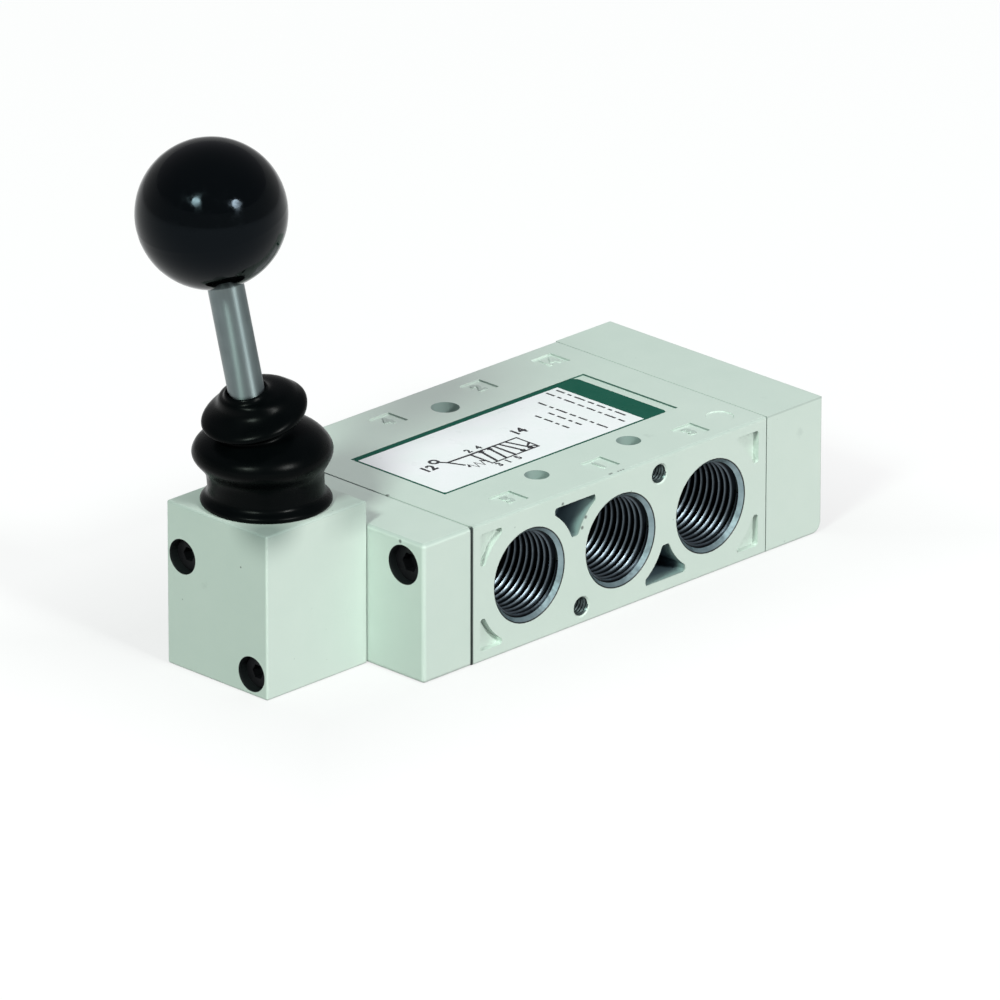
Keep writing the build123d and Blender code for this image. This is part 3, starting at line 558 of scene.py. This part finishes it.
thread_root, thread_crest, thread_pitch = 10.4775 * MM, 9.32 * MM, 1.814 * MM
thread_turns, thread_start, thread_sides, ring_sides = 9, 0.45 * MM, 56, 96
mouth_outer, mouth_sunk, mouth_inner, mouth_depth = 10.72 * MM, 0.14 * MM, 9.95 * MM, 1.05 * MM
mouth_back, mouth_front = 1.35 * MM, 0.6 * MM
thread = cut_thread(
    "thread", thread_pitch, thread_root, thread_crest, thread_turns, thread_start, thread_sides
)
mouth_outline = [
    (mouth_outer, mouth_sunk), (mouth_inner, mouth_depth), (thread_root, mouth_back),
    (thread_root, mouth_front),
]
mouth = turned_ring("mouth", mouth_outline, ring_sides)
thread.data.materials.append(thread_metal)
mouth.data.materials.append(mouth_metal)
ports = [("lever_side_exhaust", -port_pitch, -1), ("supply", 0, -1), ("far_exhaust", port_pitch, -1),
         ("lever_side_outlet", -port_pitch / 2, 1), ("far_outlet", port_pitch / 2, 1)]
for name, across, side in ports:
    for first, kind in ((thread, "thread"), (mouth, "mouth")):
        piece = copied(first, name + "_" + kind)
        settle(piece, (across, side * body_side, port_height), (side * radians(90), 0, 0))
        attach(piece, "valve")
deselect()
thread.select_set(True)
mouth.select_set(True)
bpy.ops.object.delete()


# Small tapped holes in the port face
# For a bracket's screws: a fine thread in a plain drilled hole.
tap_pitch, tap_root, tap_crest = 0.8 * MM, 2.1 * MM, 1.82 * MM
tap_turns, tap_start, tap_sides = 8, 0.1 * MM, 32
tap_thread = cut_thread("tap", tap_pitch, tap_root, tap_crest, tap_turns, tap_start, tap_sides)
tap_metal, shader, place = bare_finish("fine_tapped_metal", Metallic=0.9, Roughness=0.35)
noise(place, 900, 3).pick((0.05, 0.07, 0.07, 1), (0.14, 0.18, 0.18, 1)).feed(shader, "Base Color")
noise(place, 1500, 2).ease(0.3, 0.7, 0.28, 0.42).feed(shader, "Roughness")
tap_thread.data.materials.append(tap_metal)
for name, across, height in (("low_tap_thread", -tap_x, tap_low), ("high_tap_thread", tap_x, tap_high)):
    piece = copied(tap_thread, name)
    settle(piece, (across, -body_side, height), (radians(-90), 0, 0))
    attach(piece, "valve")
deselect()
tap_thread.select_set(True)
bpy.ops.object.delete()


# Label plate
# A thin white plate, glued on, with a printed dark green border and band. The printing is flat ink:
# the graphic symbol of the valve, the numbers of its ports and rows of plain dashes.
label_x, label_y, label_top = -1.55 * MM, -0.3 * MM, 32.3 * MM
label_half_x, label_half_y, label_corner = 35.05 * MM, 14.5 * MM, 1.6 * MM
border, back_border, band_start, print_edge = 0.8 * MM, 1.3 * MM, 26.6 * MM, 0.03 * MM
print_white, worn_white = (0.92, 0.90, 0.94, 1), (0.86, 0.88, 0.89, 1)
print_green, worn_green = (0.003, 0.08, 0.052, 1), (0.008, 0.10, 0.068, 1)

label, shader, place = bare_finish("printed_label", Roughness=0.4)
shader.inputs["Specular IOR Level"].default_value = 0.03
x, y, z = parts_of(place)
corner_x = ((x - label_x).distance() - (label_half_x - label_corner)).either(0)
corner_y = ((y - label_y).distance() - (label_half_y - label_corner)).either(0)
to_corner = off_axis(corner_x, corner_y)
corner_line, back_line = label_corner - border, label_half_y - back_border
green = to_corner.ease(corner_line - print_edge, corner_line + print_edge)
green = green.either((x - band_start).ease(-print_edge, print_edge))
green = green.either((y - label_y).ease(back_line - print_edge, back_line + print_edge))
white = noise(place, 120, 3).ease(0.3, 0.8).pick(print_white, worn_white)
ink = noise(place, 420, 3).pick(print_green, worn_green)
green.pick(white, ink).feed(shader, "Base Color")
noise(place, 260, 2).ease(0.3, 0.7, 0.26, 0.38).feed(shader, "Roughness")
noise(place, 300, 2).emboss(shader, 0.12, 0.05 * MM)
dress(label, "label_plate")


def inked(name, lines, width, thickness, level):
    """Lines drawn with a round pen and pressed flat on a surface."""
    drawn = wire_mesh(name, [[(px * MM, py * MM, 0) for px, py in line] for line in lines])
    bpy.ops.object.convert(target="CURVE")
    drawn = bpy.context.object
    drawn.data.bevel_depth, drawn.data.bevel_resolution = width / 2, 1
    drawn.data.use_fill_caps = True
    bpy.ops.object.convert(target="MESH")
    drawn = bpy.context.object
    drawn.scale = (1, 1, 2 * thickness / width)
    bpy.ops.object.transform_apply(location=False, rotation=False, scale=True)
    settle(drawn, (0, 0, level))
    return drawn


def numeral(name, text, size, place_x, place_y, thickness, level, turn=0.0):
    """A plain number, centred on its place and a little proud of the surface."""
    deselect()
    bpy.ops.object.text_add()
    digits = bpy.context.object
    digits.name = name
    digits.data.body, digits.data.size, digits.data.extrude = text, size, thickness
    digits.data.align_x, digits.data.align_y = "CENTER", "CENTER"
    heavier, curve_steps = 0.042, 4
    digits.data.resolution_u, digits.data.offset = curve_steps, size * heavier
    bpy.ops.object.convert(target="MESH")
    digits = bpy.context.object
    settle(digits, (place_x * MM, place_y * MM, level), (0, 0, radians(turn)))
    return digits


def joined(name, pieces, material):
    """One piece out of several, which rides on the valve."""
    deselect()
    for piece in pieces:
        piece.select_set(True)
    bpy.context.view_layer.objects.active = pieces[0]
    bpy.ops.object.join()
    whole = bpy.context.object
    whole.name = name
    whole.data.materials.clear()
    whole.data.materials.append(material)
    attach(whole, "valve")
    return whole


black_ink, shader, place = bare_finish("black_ink", Roughness=0.45)
noise(place, 1500, 2).pick((0.012, 0.010, 0.014, 1), (0.03, 0.028, 0.034, 1)).feed(shader, "Base Color")
noise(place, 900, 2).ease(0.3, 0.7, 0.38, 0.5).feed(shader, "Roughness")

left, middle, end, top, foot = -15.9, -8.7, -1.5, -2.0, -9.0
arrow = 0.9
symbol = [
    [(left, top), (end, top), (end, foot), (left, foot), (left, top)],
    [(middle, top), (middle, foot)],
    [(left + 1.6, foot), (left + 3.0, top)], [(left + 4.4, foot), (left + 5.6, top)],
    [(middle + 1.6, top), (middle + 3.2, foot)], [(middle + 3.6, top), (middle + 5.6, foot)],
    [(left, top), (-22.8, -1.8), (-24.0, -0.2)], [(-22.8, -1.8), (-21.0, -5.7)],
    [(left, -7.2), (-16.8, -5.9), (-17.7, -8.5), (-18.6, -5.9), (-19.5, -8.5), (-20.4, -5.9), (-21.1, -7.2)],
    [(end, -6.0), (-3.4, -7.3), (end, -8.6)],
    [(left + 2.2, top - arrow), (left + 3.0, top), (left + 3.3, top - 1.1)],
    [(left + 4.8, top - arrow), (left + 5.6, top), (left + 5.8, top - 1.1)],
    [(middle + 2.3, foot + arrow), (middle + 3.2, foot), (middle + 3.4, foot + 1.1)],
    [(middle + 4.6, foot + arrow), (middle + 5.6, foot), (middle + 5.7, foot + 1.1)],
]
knob_loop = [(-24.6 + 1.0 * cos(turn * pi / 8), 0.6 + 1.0 * sin(turn * pi / 8)) for turn in range(17)]
ink_height, symbol_line, dash_line = 0.02 * MM, 0.74 * MM, 0.62 * MM
pieces = [inked("symbol", symbol + [knob_loop], symbol_line, ink_height, label_top)]
for text, size, px, py in (
    ("12", 3.9, -28.3, -1.6), ("14", 3.9, 1.5, 0.2), ("2", 2.7, -14.8, -0.3), ("4", 2.7, -11.6, -0.3),
    ("3", 2.7, -15.4, -10.7), ("1", 2.7, -12.7, -10.7), ("5", 2.7, -9.6, -10.7),
):
    pieces.append(numeral("number", text, size * MM, px, py, ink_height, label_top))
dash_rows = [
    (25.2, 11.8, -10.6), (22.4, 12.2, -12.8), (17.0, 9.4, -13.0), (14.2, 3.5, -6.8), (10.9, 4.3, -6.2),
]
dash_lengths, dash_gap, dashes = (2.6, 1.2, 3.3, 1.9), 0.9, []
for px, row_start, row_end in dash_rows:
    spot = row_start
    while spot > row_end:
        length = dash_lengths[len(dashes) % len(dash_lengths)]
        dashes.append([(px, spot), (px, max(spot - length, row_end))])
        spot -= length + dash_gap
pieces.append(inked("blank_rows", dashes, dash_line, ink_height, label_top))
joined("label_print", pieces, black_ink)


# Port numbers cast in the top
# Low raised numbers of the casting itself, each on the floor of its own square recess, where nothing
# can rub them away. The paint covers them.
mark_floor, number_size, number_height = 32.0 * MM, 4.6 * MM, 0.25 * MM
marks = [((-28.5, -26.3), "5"), ((0.0, -26.3), "1"), ((28.5, -26.3), "3"), ((-14.25, 25.3), "4"),
         ((14.25, 25.3), "2"), ((37.0, 25.3), "14")]
pieces = [numeral("number", text, number_size, px, py, number_height, mark_floor) for (px, py), text in marks]
joined("cast_numbers", pieces, paint)


# Inner works, which show only with the pieces taken apart
# Turned steel, bronze and alloy, moulded plastic and rubber, each with its own fine grain.
def fine_finish(name, dark, light, grain, metallic, rough, depth, *nodes):
    """A finish with a fine grain that is stretched along what the tool or mould left."""
    material, shader, place = bare_finish(name, Metallic=metallic, Roughness=rough)
    place = place.node("Mapping", None, {"Vector": place, "Scale": grain})
    pattern = noise(place, 1.0, 3)
    pattern.pick(dark, light).feed(shader, "Base Color")
    pattern.ease(0.3, 0.7, rough * 0.85, rough * 1.2).feed(shader, "Roughness")
    pattern.emboss(shader, 0.2, depth)
    dress(material, *nodes)
    return material


fine_finish("turned_steel", (0.36, 0.37, 0.38, 1), (0.5, 0.51, 0.52, 1), (900, 900, 3500), 1.0, 0.34, 0.00003,
            "pivot_collar", "pivot_pin", "lever_hub", "lever_lock_nut", "spring_seat")
fine_finish("spring_wire", (0.22, 0.22, 0.23, 1), (0.34, 0.34, 0.35, 1), (2500, 900, 900), 1.0, 0.38, 0.00003,
            "return_spring")
fine_finish("spool_alloy", (0.66, 0.67, 0.69, 1), (0.76, 0.77, 0.79, 1), (3000, 500, 500), 1.0, 0.28, 0.00002,
            "spool")
fine_finish("cage_plastic", (0.02, 0.02, 0.022, 1), (0.035, 0.035, 0.038, 1), (900, 900, 900), 0.0, 0.5,
            0.00003, "spool_cages")
fine_finish("seal_rubber", (0.012, 0.012, 0.013, 1), (0.025, 0.025, 0.026, 1), (1500, 1500, 1500), 0.0, 0.6,
            0.00003, "spool_seals", "end_bumper")
fine_finish("bearing_bronze", (0.42, 0.27, 0.12, 1), (0.58, 0.40, 0.2, 1), (1400, 1400, 1400), 1.0, 0.4,
            0.00003, "guide_bush", "hub_bush")
fine_finish("insert_brass", (0.60, 0.43, 0.18, 1), (0.75, 0.57, 0.27, 1), (900, 900, 2600), 1.0, 0.3, 0.00003,
            "knob_insert")


# Return spring
# Cold coiled from hard drawn wire. One end stands on the fixed bush and the other on the washer at the
# spool's shoulder, so the coils close up as the spool comes back.
spring = copied(frame["nodes"]["return_spring"], "return_spring_coil")
spring.parent = None
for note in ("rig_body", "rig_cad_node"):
    del spring[note]
deselect()
spring.select_set(True)
bpy.context.view_layer.objects.active = spring
bpy.ops.object.mode_set(mode="EDIT")
bpy.ops.mesh.select_all(action="SELECT")
bpy.ops.mesh.remove_doubles(threshold=0.001 * MM)
bpy.ops.object.mode_set(mode="OBJECT")
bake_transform(spring)
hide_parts("return_spring")


# Lever rod
# Plain round steel, ground between wheels. They left fine lines round it, which draw the light out
# along it.
tilt = radians(13.0)
rod, shader, place = bare_finish("ground_steel", Metallic=1.0, Roughness=0.48)
along = place.node("Mapping", {"vector_type": "POINT"}, {"Vector": place, "Rotation": (0, tilt, 0)})
streaks = noise(along.node("Mapping", None, {"Vector": along, "Scale": (500, 500, 40)}), 1.0, 3)
shader.inputs["Anisotropic"].default_value, shader.inputs["Anisotropic Rotation"].default_value = 0.9, 0.285
streaks.pick((0.15, 0.19, 0.195, 1), (0.24, 0.285, 0.29, 1)).feed(shader, "Base Color")
noise(along, 250, 3).ease(0.3, 0.7, 0.44, 0.52).feed(shader, "Roughness")
streaks.emboss(shader, 0.2, 0.02 * MM)
dress(rod, "lever_rod")


# Ball knob
# Compression moulded in black phenolic resin and polished. The mould's two halves leave a faint seam
# round its middle, and the bottom is flat where the insert shows.
pivot = Vector((-76.5, 0, 40.0)) * MM
knob_height, knob_radius, knob_flat = 70.6 * MM, 16.49 * MM, 6.5 * MM
insert_radius, insert_depth = 6.02 * MM, 15.5 * MM


def shell_of_rings(name, rings, sides):
    """Extrude a circle ring by ring. A ring is its height, its radius, its centre's lean and its own tilt."""
    deselect()
    height, radius, lean, turned = rings[0]
    middle = Vector((0, 0, height))
    bpy.ops.mesh.primitive_circle_add(vertices=sides, radius=radius, location=(0, 0, height))
    shell = bpy.context.object
    shell.name = name
    bpy.ops.object.transform_apply(location=True, rotation=False, scale=False)
    bpy.ops.object.mode_set(mode="EDIT")
    bpy.ops.mesh.select_mode(type="VERT")
    bpy.ops.mesh.select_all(action="SELECT")
    for height, wider, lean, further in rings[1:]:
        centre = Vector((-sin(lean), 0, cos(lean))) * height
        bpy.ops.mesh.extrude_edges_move(TRANSFORM_OT_translate={"value": centre - middle})
        bpy.ops.transform.resize(value=[wider / radius] * 3, center_override=centre)
        bpy.ops.transform.rotate(
            value=further - turned, orient_axis="Y", orient_type="GLOBAL", center_override=centre
        )
        middle, radius, turned = centre, wider, further
    bpy.ops.object.mode_set(mode="OBJECT")
    return shell


seam_half, seam_proud = 0.3 * MM, 0.01 * MM
flat_drop = sqrt(knob_radius ** 2 - knob_flat ** 2)
steps, first_angle, last_angle = 40, -1.1659, pi / 2 - 0.02
rings = [(-flat_drop + insert_depth, insert_radius * 0.9), (-flat_drop + insert_depth, insert_radius),
         (-flat_drop, insert_radius), (-flat_drop, knob_flat - 0.3 * MM)]
for step in range(steps + 1):
    angle = first_angle + (last_angle - first_angle) * step / steps
    rings.append((knob_radius * sin(angle), knob_radius * cos(angle)))
beside_seam = sqrt(knob_radius ** 2 - seam_half ** 2)
seam = [(-seam_half, beside_seam), (-seam_half / 3, knob_radius + seam_proud),
        (seam_half / 3, knob_radius + seam_proud), (seam_half, beside_seam)]
ball_rings = rings[:4] + sorted([ring for ring in rings[4:] if abs(ring[0]) > seam_half] + seam)
knob = shell_of_rings("ball_knob_moulding", [ring + (0, 0) for ring in ball_rings], 96)
close_holes(knob)
bpy.ops.object.shade_smooth_by_angle(angle=radians(35))
settle(knob, pivot + Vector((-sin(tilt), 0, cos(tilt))) * knob_height, (0, -tilt, 0))

resin, shader, place = bare_finish("black_resin", Roughness=0.1)
shader.inputs["Specular IOR Level"].default_value = 0.11
shader.inputs["Specular Tint"].default_value = (0.65, 0.81, 1.0, 1)
noise(place, 90, 2).pick((0.0006, 0.001, 0.0012, 1), (0.0012, 0.0016, 0.0018, 1)).feed(shader, "Base Color")
noise(place, 330, 4, 0.65).ease(0.44, 0.7, 0.05, 0.25).feed(shader, "Roughness")
noise(place, 420, 3).emboss(shader, 0.12, 0.03 * MM)
knob.data.materials.append(resin)
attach(knob, "lever")
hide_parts("ball_knob")


# Dust boot
# One moulding in soft black rubber: a skirt with a thick foot, a waist, two folds and a lip round the
# rod. It is stretched over the collar below and leans with the lever above.
boot_wall, pivot_rise = 1.3 * MM, 1.8
folds = [
    (0.0, 14.05, 0, 0), (0.25, 14.4, 0, 0), (0.8, 14.5, 0, 0), (1.3, 14.2, 0, 0), (1.9, 13.3, 0, 0),
    (2.7, 12.75, 0.05, 0.01), (5.0, 12.8, 0.21, 0.05), (6.6, 12.8, 0.3, 0.08), (7.4, 13.0, 0.33, 0.08),
    (8.4, 13.5, 0.35, 0.09), (9.6, 14.35, 0.37, 0.12), (10.8, 15.1, 0.4, 0.17), (12.0, 15.5, 0.44, 0.23),
    (13.2, 15.3, 0.51, 0.3), (14.4, 14.6, 0.61, 0.39), (15.4, 13.8, 0.7, 0.47), (16.4, 12.3, 0.77, 0.6),
    (17.4, 10.5, 0.83, 0.75), (18.1, 9.2, 0.87, 0.85), (18.7, 8.5, 0.89, 0.92), (19.2, 8.6, 0.9, 0.97),
    (19.8, 9.1, 0.9, 1), (20.3, 10.2, 0.89, 1.04), (20.7, 11.1, 0.87, 1.06), (21.1, 11.55, 0.84, 1.08),
    (21.6, 11.7, 0.8, 1.1), (22.1, 11.65, 0.75, 1.1), (22.8, 11.35, 0.64, 1.12),
    (23.6, 10.5, 0.53, 1.11), (24.4, 9.4, 0.5, 1.07), (25.2, 8.7, 0.53, 1.03), (25.9, 8.2, 0.6, 1.01),
    (26.5, 7.45, 0.71, 1), (26.9, 6.4, 0.85, 1), (27.1, 5.5, 0.95, 1), (27.6, 5.0, 1, 1), (28.1, 4.75, 1, 1),
    (28.2, 4.4, 1, 1), (27.8, 4.15, 1, 1),
]
boot_rings = [
    ((height - pivot_rise) * MM, radius * MM, tilt * lean, tilt * turned)
    for height, radius, lean, turned in folds
]
boot = shell_of_rings("dust_boot_rubber", boot_rings, 96)
modifier(boot, "SUBSURF", levels=1, render_levels=1)
modifier(boot, "SOLIDIFY", thickness=boot_wall, offset=-1)
bpy.ops.object.shade_smooth()
settle(boot, pivot)

rubber, shader, place = bare_finish("boot_rubber", Roughness=0.36)
shader.inputs["Specular IOR Level"].default_value = 0.04
dust = noise(place, 90, 4, 0.6).ease(0.45, 0.85)
dust.pick((0.0006, 0.0012, 0.0014, 1), (0.0016, 0.0022, 0.0024, 1)).feed(shader, "Base Color")
noise(place, 300, 3).ease(0.3, 0.7, 0.23, 0.33).feed(shader, "Roughness")
skin = noise(place, 1500, 3) * 0.7 + noise(place, 260, 2) * 0.5
skin.emboss(shader, 0.3, 0.06 * MM)
boot.data.materials.append(rubber)
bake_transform(boot)
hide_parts("dust_boot")
